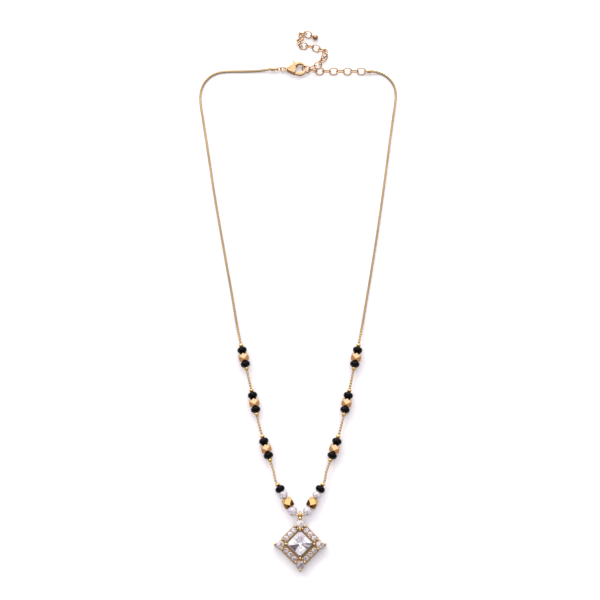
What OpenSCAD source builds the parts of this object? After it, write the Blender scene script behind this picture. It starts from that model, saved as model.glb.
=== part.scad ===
// A mangalsutra necklace with a square stone pendant, laid down on a table.
// Two runs of fine box chain carry black and gold beads down to the pendant, and behind the
// neck a lobster clasp holds an extender of cable links. Millimetres, +Z up, the table at
// z = 0, the pendant towards -Y and the clasp towards +Y.

/* [Loop] */
// Width of the loop of chain at its widest
loop_w = 85.6; // [80:0.2:90]
// Length from the middle of the pendant up to the clasp
loop_len = 208; // [200:0.25:215]

/* [Box chain] */
// Outside width of the box chain
chain_d = 0.96; // [0.8:0.02:1.1]
// Diameter of the gold wire that carries the beads beside the pendant
wire_d = 0.5; // [0.4:0.05:0.6]

/* [Beads] */
// Diameter of a black bead
black_d = 3.95; // [3.4:0.05:4.4]
// Length of a black bead along the chain
black_len = 2.5; // [2:0.1:3]
// Width of a gold nugget between two black beads
nugget_w = 4.1; // [3.6:0.1:4.6]
// Length of that nugget along the chain
nugget_len = 3.4; // [3:0.1:4]
// Width of the larger nugget beside the pendant
big_nugget_w = 4.0; // [3.6:0.1:5.2]
// Length of the larger nugget
big_nugget_len = 4.1; // [3.6:0.1:5.4]
// Half diagonal of a nugget's diamond face, as a share of half its width
nugget_face = 0.74; // [0.6:0.02:0.9]
// Diameter of the upper clear crystal bead
crystal_d = 3.9; // [3.4:0.1:4.4]
// Length of the upper crystal bead
crystal_len = 2.8; // [2.2:0.1:3.2]
// Diameter of the lower crystal bead
low_crystal_d = 4.1; // [3.4:0.1:4.4]
// Length of the lower crystal bead
low_crystal_len = 3.3; // [2.6:0.1:3.6]
// Diameter of a round crimp
crimp_d = 2.0; // [1.8:0.1:2.4]
// Length of a crimp
crimp_len = 1.3; // [1:0.1:1.6]
// Diameter of the small bead on each side of the bail
spacer_d = 1.5; // [1.3:0.05:1.5]
// Length of that bead
spacer_len = 0.7; // [0.5:0.05:0.7]
// Gap between neighbours on the chain
bead_gap = 0.1; // [0.1:0.05:0.3]
// Play round the chain or wire in a bead's bore
bore_play = 0.2; // [0.15:0.05:0.3]
// Play round the chain in a crimp
crimp_play = 0.09; // [0.05:0.01:0.1]
// Distance along the chain from the lowest crimp to the middle of the first group
first_group = 15.5; // [15:0.5:17]
// Distance from one group of beads to the next
group_pitch = 19.6; // [18.5:0.1:21]

/* [Pendant] */
// Side of the square centre stone
centre_stone_w = 7.8; // [7:0.1:9]
// Height of the centre stone above its girdle
centre_crown_h = 1.1; // [0.8:0.1:1.4]
// Diameter of a corner stone
corner_stone_d = 3.1; // [2.6:0.1:3.2]
// Diameter of a small stone along the sides
side_stone_d = 2.05; // [1.6:0.05:2.1]
// Spacing of the small stones
side_stone_pitch = 2.2; // [2.1:0.05:2.5]
// Metal between the centre stone's opening and the small stones
inner_rail = 0.45; // [0.4:0.05:0.9]
// Metal outside the small stones
outer_rail = 0.25; // [0.2:0.05:0.45]
// Height of the setting's top plate above the table
setting_h = 2.7; // [2.4:0.1:3.2]
// Thickness of the top plate
plate_t = 0.8; // [0.6:0.1:1]
// Thickness of the setting's walls
wall_t = 0.5; // [0.4:0.05:0.6]
// Play between a stone and its setting
stone_play = 0.1; // [0.08:0.02:0.16]
// Diameter of the beads that hold the centre and corner stones
prong_d = 1.1; // [0.9:0.05:1.2]
// Diameter of the grains between the small stones
grain_d = 0.55; // [0.45:0.05:0.65]
// Outside diameter of the bail ring
bail_d = 3.0; // [2.8:0.1:3.4]
// Thickness of the bail ring
bail_t = 0.95; // [0.8:0.05:1]
// Diameter of the ball between bail and setting
bail_ball_d = 1.7; // [1.6:0.1:2.2]

/* [Clasp] */
// Radius of the clasp's round hook end
hook_r = 3.25; // [3:0.05:3.5]
// Radius of the opening in the hook
hook_hole_r = 1.85; // [1.7:0.05:2]
// Distance from the round end to the clasp's narrow end
clasp_taper = 4.35; // [4.2:0.05:4.6]
// Radius of the narrow end
clasp_end_r = 1.1; // [1:0.05:1.2]
// Thickness of the clasp at its hinge
clasp_t = 2.6; // [2.4:0.1:3]
// Thickness of the hook
hook_t = 1.3; // [1.2:0.05:1.4]
// Thickness of the lever inside the clasp
lever_t = 1.0; // [0.8:0.05:1.1]
// Play on each side of the lever
lever_play = 0.1; // [0.08:0.01:0.14]
// Diameter of the lever's rivet
rivet_d = 0.7; // [0.6:0.05:0.8]
// Running play round the rivet
rivet_play = 0.05; // [0.03:0.01:0.08]

/* [Extender] */
// Length of an extender link over all
link_len = 4.15; // [3.95:0.05:4.4]
// Width of an extender link over all
link_w = 3.4; // [3.2:0.1:3.7]
// Wire of an extender link
link_wire = 0.5; // [0.4:0.05:0.55]
// Play where two links hook together
link_play = 0.1; // [0.08:0.02:0.16]
// Links between the clasp's link and the chain's end
main_links = 8; // [6:1:8]
// Ball on the loose end
drop_d = 2.5; // [2:0.1:2.8]

/* [Chain ends] */
// Outside diameter of the cap on a chain's end
cap_d = 1.5; // [1.4:0.05:1.8]
// Length of the cap
cap_len = 1.8; // [1.5:0.1:2.2]
// Outside diameter of the cap's eye
cap_eye_d = 1.8; // [1.75:0.05:2.1]
// Wire of the eyes and small rings
ring_wire = 0.42; // [0.36:0.02:0.44]
// Length of the oval ring beside the clasp
oval_len = 2.5; // [2.4:0.1:3]
// Width of the oval ring
oval_w = 1.9; // [1.8:0.1:2.2]
// Diameter of the round ring on the clasp
round_ring_d = 2.6; // [2.4:0.1:3]

/* [Hidden] */
$fn = 48;
SIDES = ["left", "right"];
GROUPS = 3;
BLACK_KEYS = ["1a", "1b", "2a", "2b", "3a", "3b", "4"];
CORNERS = ["top", "left", "bottom", "right"];

// Route of each chain from its lowest crimp to its widest point, then round to its cap. Each
// row has the way out as a share of the way to the widest line, from the pendant or from the
// cap's end; the way up as a share of the loop's length; and the height as a share of the way
// from the table to the beads' middle. The last crimp and the cap add the ends.
LEFT_RISE = [
    [0.2403, 0.1382, 0.9], [0.2769, 0.1618, 1], [0.3135, 0.1849, 1], [0.3478, 0.2075, 1],
    [0.3776, 0.2296, 0.7], [0.4027, 0.2522, 1], [0.4279, 0.2762, 1], [0.4531, 0.2998, 1],
    [0.4783, 0.3224, 0.7], [0.5034, 0.3445, 1], [0.5309, 0.368, 1], [0.5561, 0.3916, 1],
    [0.595, 0.4315, 0.3], [0.643, 0.4892, 0], [0.6934, 0.5469, 0], [0.7437, 0.6046, 0],
    [0.7941, 0.6623, 0], [0.8421, 0.72, 0], [0.8856, 0.7776, 0], [0.9291, 0.8353, 0],
    [0.9703, 0.8882, 0], [0.9931, 0.9171, 0], [1, 0.9377, 0]
];
LEFT_BEND = [
    [0.9838, 0.9555, 0], [0.9319, 0.9724, 0], [0.854, 0.9849, 0], [0.7566, 0.9925, 0],
    [0.6171, 0.9954, 0], [0.4224, 0.9959, 0], [0.2276, 0.9969, 0], [0.0978, 0.9983, 0.2]
];
RIGHT_RISE = [
    [0.2482, 0.1377, 0.9], [0.2912, 0.1618, 1], [0.3317, 0.1849, 1], [0.3675, 0.2075, 1],
    [0.3962, 0.2296, 0.7], [0.4248, 0.2526, 1], [0.4511, 0.2762, 1], [0.4773, 0.2993, 1],
    [0.5012, 0.3219, 0.7], [0.5251, 0.3445, 1], [0.5489, 0.368, 1], [0.5728, 0.3911, 1],
    [0.611, 0.4315, 0.3], [0.6611, 0.4892, 0], [0.7112, 0.5469, 0], [0.7589, 0.6046, 0],
    [0.8043, 0.6623, 0], [0.8473, 0.72, 0], [0.8878, 0.7776, 0], [0.9284, 0.8353, 0],
    [0.9666, 0.8882, 0], [0.9881, 0.9171, 0], [1, 0.9377, 0]
];
RIGHT_BEND = [
    [0.9717, 0.9555, 0], [0.8493, 0.9709, 0], [0.642, 0.9834, 0], [0.397, 0.9911, 0],
    [0.2274, 0.9935, 0.2]
];

// The loose tail of the extender: heading in degrees, step as a share of a tight link's
// pitch, and rise of the link above where it would lie flat, as a share of its wire.
TAIL = [
    [26, 1, 1.12], [33, 0.83, 0], [64, 0.8, 0], [59, 0.74, 0], [98, 0.73, 0],
    [164, 0.83, 0], [156, 0.96, 0], [172, 1, 0], [175, 0.88, 0], [111, 0.81, 0],
    [46, 0.62, 0], [99, 0.62, 0], [14, 0.73, 0], [-24, 0.74, 0]
];
// Headings of the link in the clasp and of the first link of the main run
HOOKED_LINK = -13.6;
FIRST_LINK = -9.8;

// The wire's way out of the bail, from its middle: out and up, to where the straight leg
// starts
WIRE_BEND = [[0.5, -0.05], [1.2, -0.25], [1.8, -0.3], [2.15, -0.1]];
leg_angle = 60.6;

// Round stone: radius and height as shares of its radius, and turn in facets
BRILLIANT = [
    [0.08, -0.86, 0], [0.62, -0.38, 0.5], [1, -0.06, 1], [1, 0, 1], [0.84, 0.2, 1.5],
    [0.56, 0.34, 2]
];
// Crystal bead: radius as a share of its radius, height as a share of half its length, and
// turn in facets
CRYSTAL = [[0.5, -1, 0], [0.86, -0.55, 0.5], [1, 0, 1], [0.86, 0.55, 1.5], [0.5, 1, 2]];
// Square stone: half its width as a share of the girdle's, its cut corner as a share of the
// girdle's, and the height as a share of the pavilion's depth or of the crown's height
PAVILION = [[0.06, 0.04, -1], [0.52, 0.7, -0.66], [0.82, 0.9, -0.36], [1, 1, -0.05]];
CROWN = [[1, 1, 0], [0.84, 0.9, 0.62], [0.6, 0.8, 1]];

GOLD = "goldenrod";
ROSE_GOLD = "peru";

// Heights
chain_z = chain_d / 2;
bead_z = max(nugget_w, black_d) / 2;
wire_z = max(big_nugget_w, crystal_d, low_crystal_d, black_d) / 2;
clasp_z = clasp_t / 2;
lean = 45;
diagonal = sqrt(2);
link_z = (link_w - link_wire) / 2 * sin(lean) + link_wire / 2;

// Stones: height of each girdle, the centre stone's cut corner, and its clearance below
corner_rise = 0.35;
side_rise = 0.2;
corner_girdle = setting_h + corner_rise;
side_girdle = setting_h + side_rise;
centre_girdle = setting_h + 0.05;
centre_cut = 0.75;
centre_clear = 0.35;

// Pendant, in a frame turned so that its stones lie square
loop_middle_y = -4.75;
pendant_x = 0.9;
pendant_y = loop_middle_y - loop_len / 2;
opening_half = centre_stone_w / 2 + 2 * stone_play;
side_line = opening_half + inner_rail + side_stone_d / 2;
frame_half = side_line + side_stone_d / 2 + outer_rail;
corner_out = side_line * diagonal;
collar_wall = 0.2;
collar_r = seat_r(corner_stone_d, corner_rise) + collar_wall;
prong_r = prong_d / 2;
stem_share = 0.6;
corner_hold = corner_stone_d / 2 + stone_play + stem_share * prong_r;
corner_cut = side_line + side_stone_pitch * 2.2;
top_corner_y = pendant_y + corner_out;
ball_y = top_corner_y + corner_hold + 0.19 * bail_ball_d;
bail_r = (bail_d - bail_t) / 2;
bail_y = ball_y + 0.27 * bail_ball_d + bail_r;

// Middle of each thing on a leg of the wire, measured from where the leg starts
leg_start = WIRE_BEND[len(WIRE_BEND) - 1];
leg_dir = [cos(leg_angle), sin(leg_angle)];
low_crystal_at = bead_gap + low_crystal_len / 2;
big_nugget_at = low_crystal_at + low_crystal_len / 2 + bead_gap + big_nugget_len / 2;
high_crystal_at = big_nugget_at + big_nugget_len / 2 + bead_gap + crystal_len / 2;
last_black_at = high_crystal_at + crystal_len / 2 + bead_gap + black_len / 2;
last_crimp_at = last_black_at + black_len / 2 + bead_gap + crimp_len / 2;
leg_end = last_crimp_at - bead_gap / 2;

// Clasp, all from the centre of its round end
hook = [0.5, loop_middle_y + loop_len / 2];
hole = hook + [0.35, 0.15];
narrow = hook + [-clasp_taper, -0.15];
pivot = narrow + [0.15, -0.35];
// Radii about the pivot, from the cheeks inside to the lever's tip
reach = norm(hook - pivot);
cheek_r = 0.66 * reach;
slot_r = 0.89 * reach;
nub_at = 0.99 * reach;
tip_r = 1.065 * reach;
nub_angle = 62;
slot_wall = 0.55;
hub_r = 0.75;
nub_r = 0.55;
arm_w = 0.8;
gate_w = 1.05;
rim_cut = 0.3;
hook_tip_y = hook[1] - 0.4;
edge_play = 0.05;
// Eye at the narrow end
eye_t = 0.6;
eye_hole_r = ring_wire / 2 + 0.34;
eye_r = eye_hole_r + 0.4;
eye_x = narrow[0] - clasp_end_r - 0.7 * eye_r;

// Rings between the clasp and the left chain, each hooked into the last
ring_play = 0.12;
ring_lean = 62;
round_ring_x = eye_x + ring_wire / 2 - round_ring_d / 2;
oval_x = round_ring_x - round_ring_d / 2 + 2 * ring_wire + ring_play - oval_len / 2;
left_eye_x = oval_x - oval_len / 2 + 2 * ring_wire + ring_play - cap_eye_d / 2;
ring_y = narrow[1];
eye_sink = 0.2;
left_cap_x = left_eye_x - cap_eye_d / 2 + eye_sink;
cap_depth = 1.1;
cap_inset = 0.1;

// Extender, from the link in the clasp's hook
pitch = link_len - 2 * link_wire - link_play;
main_drop = 1.2;
main_y = hook[1] - main_drop;
hook_room = 0.56;
hooked_drop = 0.135;
hooked_rise = 0.077;
hooked_lean = 49.3;
hooked_link = [
    hole[0] + hook_hole_r - link_play - link_wire + link_len / 2 - hook_room,
    hook[1] - hooked_drop, link_z + hooked_rise
];
joint_in = 0.14;
main_joint_up = 0.52;
tail_joint_down = 0.03;
joint_out = pitch / 2 - joint_in;
main_joint = [hooked_link[0] + joint_out, main_y + main_joint_up];
tail_joint = [hooked_link[0] + joint_out, hooked_link[1] - tail_joint_down];
main_end_x = main_joint[0] + pitch * cos(FIRST_LINK) + (main_links - 1) * pitch;
// Middle of an eye hooked into a link's end, from the link's joint
eye_off = (link_len - pitch) / 2 - link_wire - 2 * link_play - ring_wire + cap_eye_d / 2;
right_eye_x = main_end_x + eye_off;
right_cap_x = right_eye_x + cap_eye_d / 2 - eye_sink;

// Rounded lengths along a chain of points
function unit(v) = v / norm(v);
function run_of(points) = [
    for (i = 0, s = 0; i < len(points);
        s = s + (i < len(points) - 1 ? norm(points[i + 1] - points[i]) : 0), i = i + 1) s
];
// Index of the stretch that holds the length s
function stretch_at(runs, s) =
    max([for (i = [0:len(runs) - 2]) if (runs[i] <= s || i == 0) i]);

// Points of the ring of radius r round point i of a route
function ring_at(points, i, r, sides) = let (
    last = len(points) - 1,
    along = unit(points[min(i + 1, last)] - points[max(i - 1, 0)]),
    across = unit(cross(along, [0, 0, 1])),
    up = cross(across, along)
) [for (k = [0:sides - 1]) let (a = 360 * k / sides)
    points[i] + r * (across * cos(a) + up * sin(a))];

// Closed skin over a stack of rings with the same number of points
module skin(rings) {
    n = len(rings[0]);
    last = len(rings) - 1;
    polyhedron(
        points = [for (ring = rings) each ring],
        faces = concat(
            [[for (k = [0:n - 1]) k]],
            [for (i = [0:last - 1]) for (k = [0:n - 1])
                let (a = i * n + k, b = i * n + (k + 1) % n) each [[a, a + n, b], [b, a + n, b + n]]],
            [[for (k = [n - 1:-1:0]) last * n + k]]
        )
    );
}

// Round tube along a route
module tube(points, d, sides = 8) {
    skin([for (i = [0:len(points) - 1]) ring_at(points, i, d / 2, sides)]);
}

// Round stone or bead from a table of shares of its radius r and height h
module faceted(rows, r, h, sides) {
    skin([for (row = rows) [for (k = [0:sides - 1])
        let (a = -360 * (k + row[2]) / sides) [r * row[0] * cos(a), r * row[0] * sin(a), h * row[1]]]]);
}

// Children moved to the length s along a route, with their X axis along it
module on_route(points, s, drop = 0) {
    runs = run_of(points);
    i = stretch_at(runs, s);
    along = unit(points[i + 1] - points[i]);
    place = points[i] + along * (s - runs[i]);
    translate(place - [0, 0, drop])
        rotate([0, -asin(along[2]), atan2(along[1], along[0])])
            children();
}

// Places and routes
function from_bail(side, out, up) =
    [pendant_x + (side == "left" ? -out : out), bail_y + up, wire_z];
function leg_point(side, s) =
    from_bail(side, leg_start[0] + leg_dir[0] * s, leg_start[1] + leg_dir[1] * s);
function half_wire(side) = concat(
    [for (row = WIRE_BEND) from_bail(side, row[0], row[1])],
    [leg_point(side, leg_end - crimp_len / 4)]
);
function backwards(list) = [for (i = [len(list) - 1:-1:0]) list[i]];
WIRE = concat(backwards(half_wire("left")), half_wire("right"));
function laid(row, from, widest) = [
    from + row[0] * (widest - from), pendant_y + row[1] * loop_len,
    chain_z + row[2] * (bead_z - chain_z)
];
// From inside the last crimp to the cap; towards is the cap's direction along X
function route(side, rise, bend, cap, towards) = concat(
    [leg_point(side, leg_end), leg_point(side, last_crimp_at + crimp_len)],
    [for (row = rise) laid(row, pendant_x, -towards * loop_w / 2)],
    [for (row = bend) laid(row, cap[0] - towards * cap_len, -towards * loop_w / 2)],
    [for (depth = [cap_inset, cap_depth - cap_inset]) cap - [towards * (cap_len - depth), 0, 0]]
);
LEFT = route("left", LEFT_RISE, LEFT_BEND, [left_cap_x, ring_y, clasp_z], 1);
RIGHT = route("right", RIGHT_RISE, RIGHT_BEND, [right_cap_x, main_y, link_z], -1);
function route_of(side) = side == "left" ? LEFT : RIGHT;

// Chains and the bead wire
module box_chain(side) color(GOLD) tube(route_of(side), chain_d);
module bead_wire() color(ROSE_GOLD) tube(WIRE, wire_d);

// Beads, each with its bore along Z
module bore(d, length) translate([0, 0, -length]) cylinder(d = d, h = 2 * length, $fn = 24);

module round_bead(d, length, bore_d) {
    rotate_extrude() intersection() {
        translate([(d - length) / 2, 0]) circle(d = length);
        translate([bore_d / 2, -length]) square([d, 2 * length]);
    }
}

module nugget(w, length, bore_d) {
    reach = (1 + nugget_face) * w / 2;
    stretch = length / w;
    difference() {
        intersection() {
            cube([w, w, length], center = true);
            polyhedron(
                points = [[reach, 0, 0], [0, reach, 0], [-reach, 0, 0], [0, -reach, 0],
                    [0, 0, reach * stretch], [0, 0, -reach * stretch]],
                faces = [for (k = [0:3]) each [[k, 4, (k + 1) % 4], [(k + 1) % 4, 5, k]]]
            );
        }
        bore(bore_d, length);
    }
}

module crystal(d, length, bore_d) difference() {
    faceted(CRYSTAL, d / 2, length / 2, 10);
    bore(bore_d, length);
}

// A bead turned from Z to lie along its route
module threaded() rotate([0, 90, 0]) children();
function drop_to_table(level, d, play) = max(0, min(level - d / 2, play / 2));

chain_bore = chain_d + 2 * bore_play;
wire_bore = wire_d + 2 * bore_play;
function group_at(group) = first_group + (group - 1) * group_pitch;
black_off = nugget_len / 2 + bead_gap + black_len / 2;
crimp_off = black_off + black_len / 2 + bead_gap + crimp_len / 2;

module black_bead(side, key) {
    group = ord(key[0]) - ord("0");
    color("black")
        if (group > GROUPS)
            on_leg(side, last_black_at)
                translate([0, 0, -drop_to_table(wire_z, black_d, bore_play)])
                    threaded() round_bead(black_d, black_len, wire_bore);
        else
            on_route(route_of(side), group_at(group) + (key[1] == "a" ? -1 : 1) * black_off,
                drop_to_table(bead_z, black_d, bore_play))
                threaded() round_bead(black_d, black_len, chain_bore);
}

module gold_nugget(side, group) color(GOLD)
    on_route(route_of(side), group_at(group), drop_to_table(bead_z, nugget_w, bore_play))
        threaded() nugget(nugget_w, nugget_len, chain_bore);

module on_leg(side, s) translate(leg_point(side, s))
    rotate(side == "left" ? 180 - leg_angle : leg_angle) children();

module large_nugget(side) color(GOLD)
    on_leg(side, big_nugget_at) translate([0, 0, -drop_to_table(wire_z, big_nugget_w, bore_play)])
        threaded() nugget(big_nugget_w, big_nugget_len, wire_bore);

module crystal_bead(side, place) color("lightcyan") {
    upper = place == "upper";
    d = upper ? crystal_d : low_crystal_d;
    on_leg(side, upper ? high_crystal_at : low_crystal_at)
        translate([0, 0, -drop_to_table(wire_z, d, bore_play)])
            threaded() crystal(d, upper ? crystal_len : low_crystal_len, wire_bore);
}

module crimps(side) color(GOLD) {
    for (group = [1:GROUPS]) for (end = [-1, 1])
        on_route(route_of(side), group_at(group) + end * crimp_off)
            threaded() round_bead(crimp_d, crimp_len, chain_d + 2 * crimp_play);
    on_leg(side, last_crimp_at)
        threaded() round_bead(crimp_d, crimp_len, chain_d + 2 * crimp_play);
    // The small bead between the bail and the lower crystal
    bend = (WIRE_BEND[0] + WIRE_BEND[1]) / 2;
    slope = WIRE_BEND[1] - WIRE_BEND[0];
    angle = atan2(slope[1], slope[0]);
    translate(from_bail(side, bend[0], bend[1])) rotate(side == "left" ? 180 - angle : angle)
        threaded() round_bead(spacer_d, spacer_len, wire_bore);
}

// Pendant
module on_pendant(z = 0) translate([pendant_x, pendant_y, z]) rotate(45) children();
module on_side(turn, along = 0) rotate(90 * turn) translate([side_line, along]) children();
module at_corner(turn) rotate(90 * turn) translate([side_line, side_line]) children();

// Outline of the setting, drawn in from its edge by inset
module setting_outline(inset) {
    intersection() {
        square(2 * (frame_half - inset), center = true);
        rotate(45) square((corner_cut - inset * diagonal) * diagonal, center = true);
    }
    for (turn = [0:3]) at_corner(turn) circle(r = collar_r - inset);
    // A foot for each outer prong, and at the top for the bail's ball
    if (inset == 0) for (turn = [0:3]) at_corner(turn)
        rotate(45) translate([corner_hold, 0]) circle(r = 0.8 * prong_r);
}

// Places of the small stones along a side
SIDE_STEPS = [-1, 0, 1];

module setting_frame() {
    difference() {
        linear_extrude(setting_h) difference() {
            setting_outline(0);
            square(2 * opening_half, center = true);
        }
        translate([0, 0, -plate_t]) linear_extrude(setting_h) difference() {
            setting_outline(wall_t);
            square(2 * (opening_half + wall_t), center = true);
        }
        for (turn = [0:3]) {
            for (step = SIDE_STEPS)
                on_side(turn, step * side_stone_pitch) seat(side_stone_d, side_rise);
            at_corner(turn) seat(corner_stone_d, corner_rise);
        }
    }
    seat_ledge();
}

// Tapered hole that a round stone sits in, with its girdle above the plate by rise
seat_slope = 0.75;
cut_past = 0.02;
function seat_r(d, rise) = stone_play
    + d / 2 * lookup(-2 * rise / d, [for (row = BRILLIANT) [row[1], row[0]]]);
module seat(d, rise) {
    depth = plate_t + cut_past;
    rim = seat_r(d, rise);
    translate([0, 0, setting_h - depth])
        cylinder(r1 = rim - depth * seat_slope, r2 = rim, h = depth);
}

ledge_w = 0.7;
ledge_t = 0.5;
ledge_z = 0.9;
module seat_ledge() translate([0, 0, ledge_z]) linear_extrude(ledge_t) difference() {
    square(2 * (opening_half + wall_t / 2), center = true);
    square(2 * (opening_half - ledge_w), center = true);
}

// Bead of radius r on a stem, with its middle at height z
module prong(z, r = prong_r) {
    foot = setting_h - plate_t / 2;
    translate([0, 0, foot]) cylinder(r = stem_share * r, h = z - foot);
    translate([0, 0, z]) sphere(r = r, $fn = 32);
}

centre_hold = centre_stone_w / 2 - centre_cut / 2 + (stone_play + 0.8 * prong_r) / diagonal;
inner_prong_turn = 117;
top_bead_r = 0.83 * prong_r;
top_beads_out = corner_out - corner_stone_d / 2 - stone_play - stem_share * top_bead_r;
grain_out = side_stone_d / 2 - 0.15 * grain_d;

module grains(steps, out) for (step = steps)
    on_side(0, step * side_stone_pitch) translate([out, 0, setting_h]) sphere(d = grain_d, $fn = 24);

module prongs() {
    for (turn = [0:3]) rotate(90 * turn) {
        // The bail's ball stands in for the top corner's outer prong
        at_corner(0) for (a = [inner_prong_turn, -inner_prong_turn, if (turn > 0) 0])
            rotate(45 + a) translate([corner_hold, 0]) prong(corner_girdle + prong_r);
        translate([centre_hold, centre_hold]) prong(centre_girdle + prong_r);
        grains([-1.5:1.5], -grain_out);
        grains([-0.5, 0.5], grain_out);
    }
    // Three more beads where the pendant hangs
    rotate(45) for (k = [-1:1])
        translate([top_beads_out, 2.2 * top_bead_r * k]) prong(corner_girdle + top_bead_r, top_bead_r);
}

// The ball and ring that the wire passes through
module bail() {
    translate([pendant_x, ball_y, 0.85 * setting_h]) sphere(d = bail_ball_d);
    translate([pendant_x, bail_y, wire_z]) rotate([0, 90, 0])
        rotate_extrude() translate([bail_r, 0]) circle(d = bail_t, $fn = 32);
}

module pendant_setting() color(GOLD) {
    on_pendant() {
        setting_frame();
        prongs();
    }
    bail();
}

// Stones
module brilliant(d, sides) faceted(BRILLIANT, d / 2, d / 2, sides);

module corner_stone(corner) {
    turn = search([corner], CORNERS)[0];
    color("lightcyan") on_pendant(corner_girdle) at_corner(turn) brilliant(corner_stone_d, 12);
}

module side_stones() color("lavender") on_pendant(side_girdle)
    for (turn = [0:3]) for (step = SIDE_STEPS)
        on_side(turn, step * side_stone_pitch) brilliant(side_stone_d, 10);

// Square with cut corners, wound with the faceted rows
function cut_square(half, cut, z) = [
    [half, half - cut, z], [half, cut - half, z], [half - cut, -half, z], [cut - half, -half, z],
    [-half, cut - half, z], [-half, half - cut, z], [cut - half, half, z], [half - cut, half, z]
];

module square_cut(rows, h) {
    skin([for (i = [0:len(rows) - 1])
        cut_square(rows[i][0] * centre_stone_w / 2, rows[i][1] * centre_cut, rows[i][2] * h[i])]);
}

module centre_stone() color("azure") on_pendant(centre_girdle)
    square_cut(concat(PAVILION, CROWN), concat(
        [for (row = PAVILION) centre_girdle - centre_clear],
        [for (row = CROWN) centre_crown_h]
    ));

// Clasp
module teardrop(inset = 0) {
    big = hook_r - inset;
    small = clasp_end_r - inset;
    axis = narrow - hook;
    spread = acos((big - small) / norm(axis));
    turn = atan2(axis[1], axis[0]);
    translate(hook) circle(r = big);
    translate(narrow) circle(r = small);
    polygon([for (corner = [[hook, big, 1], [narrow, small, 1], [narrow, small, -1], [hook, big, -1]])
        let (a = turn + corner[2] * spread) corner[0] + corner[1] * [cos(a), sin(a)]]);
}

module disc_at(place, r) translate(place) circle(r = r);
module layer(t) translate([0, 0, clasp_z - t / 2]) linear_extrude(t) children();

module clasp_body() color(GOLD) difference() {
    union() {
        layer(hook_t) teardrop();
        layer(clasp_t) {
            intersection() {
                teardrop();
                disc_at(pivot, cheek_r);
            }
            intersection() {
                teardrop();
                disc_at(pivot, slot_r + slot_wall);
                translate(pivot + [-hook_r, 2 * hub_r]) square(3 * hook_r);
            }
        }
        layer(eye_t) disc_at([eye_x, ring_y], eye_r);
    }
    // The hook's opening with its cut edges, the ring's eye and the rivet's hole
    for (face = [0, 1]) translate([hole[0], hole[1], clasp_z]) rotate([180 * face, 0, 0])
        translate([0, 0, hook_t / 2 - rim_cut])
            cylinder(r1 = hook_hole_r, r2 = hook_hole_r + rim_cut, h = rim_cut);
    layer(2 * clasp_t) {
        disc_at(hole, hook_hole_r);
        disc_at([eye_x, ring_y], eye_hole_r);
        disc_at(pivot, rivet_d / 2);
    }
    // The mouth that the lever closes
    layer(2 * clasp_t) intersection() {
        difference() {
            disc_at(pivot, tip_r + lever_play);
            disc_at(pivot, cheek_r);
        }
        translate([pivot[0], hook_tip_y - 2 * hook_r]) square([3 * hook_r, 2 * hook_r]);
    }
    // The slot for the lever
    layer(lever_t + 2 * lever_play) intersection() {
        disc_at(pivot, slot_r);
        translate(pivot - [hub_r + lever_play, hook_r]) square(3 * hook_r);
    }
}

// The part of the lever that closes the mouth
module gate() difference() {
    intersection() {
        teardrop(edge_play);
        disc_at(pivot, tip_r);
        translate(pivot + [0, arm_w / 2 - hook_r]) square([3 * hook_r, hook_r]);
    }
    disc_at(hook, hook_r - gate_w);
}

module clasp_lever() color(GOLD) difference() {
    union() {
        layer(lever_t) {
            disc_at(pivot, hub_r);
            gate();
            translate(pivot) rotate(nub_angle) translate([0, -arm_w / 2]) square([nub_at, arm_w]);
        }
        layer(hook_t) difference() {
            gate();
            disc_at(pivot, cheek_r + lever_play);
        }
        layer(0.62 * clasp_t) disc_at(pivot + nub_at * [cos(nub_angle), sin(nub_angle)], nub_r);
    }
    layer(2 * clasp_t) disc_at(pivot, rivet_d / 2 + rivet_play);
}

module clasp_rivet() color(ROSE_GOLD) layer(clasp_t) disc_at(pivot, rivet_d / 2);

// Rings and links
module torus(d, wire) rotate_extrude() translate([(d - wire) / 2, 0]) circle(d = wire, $fn = 24);

// Oval link along X, lying in the XY plane
module oval(length, w, wire) {
    straight = length - w;
    for (end = [0, 1]) rotate(180 * end) {
        translate([straight / 2, 0]) rotate(-90)
            rotate_extrude(angle = 180) translate([(w - wire) / 2, 0]) circle(d = wire, $fn = 24);
        translate([-straight / 2, (w - wire) / 2]) rotate([0, 90, 0])
            cylinder(d = wire, h = straight, $fn = 24);
    }
}

module round_ring() color(ROSE_GOLD) translate([round_ring_x, ring_y, clasp_z])
    rotate([ring_lean, 0, 0]) torus(round_ring_d, ring_wire);
module oval_ring() color(ROSE_GOLD) translate([oval_x, ring_y, clasp_z])
    oval(oval_len, oval_w, ring_wire);

// Cap on a chain's end with its eye towards +X, turned about X by roll
module chain_cap(roll) {
    difference() {
        translate([-cap_len, 0, 0]) rotate([0, 90, 0]) cylinder(d = cap_d, h = cap_len);
        translate([-cap_len - 1, 0, 0]) rotate([0, 90, 0])
            cylinder(d = chain_d + 2 * crimp_play, h = cap_depth + 1, $fn = 24);
    }
    translate([cap_eye_d / 2 - eye_sink, 0, 0]) rotate([roll, 0, 0]) torus(cap_eye_d, ring_wire);
}
module chain_cap_left() color(ROSE_GOLD) translate([left_cap_x, ring_y, clasp_z]) chain_cap(90);
module chain_cap_right() color(ROSE_GOLD) translate([right_cap_x, main_y, link_z])
    rotate(180) chain_cap(lean_of(main_links));

// One extender link from its centre, heading and lean
module extender_link(place, heading, lean) translate(place) rotate(heading) rotate([lean, 0, 0])
    oval(link_len, link_w, link_wire);

function step_of(heading, share) = pitch * share * [cos(heading), sin(heading), 0];
function at_link_z(place) = [place[0], place[1], link_z];
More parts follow.
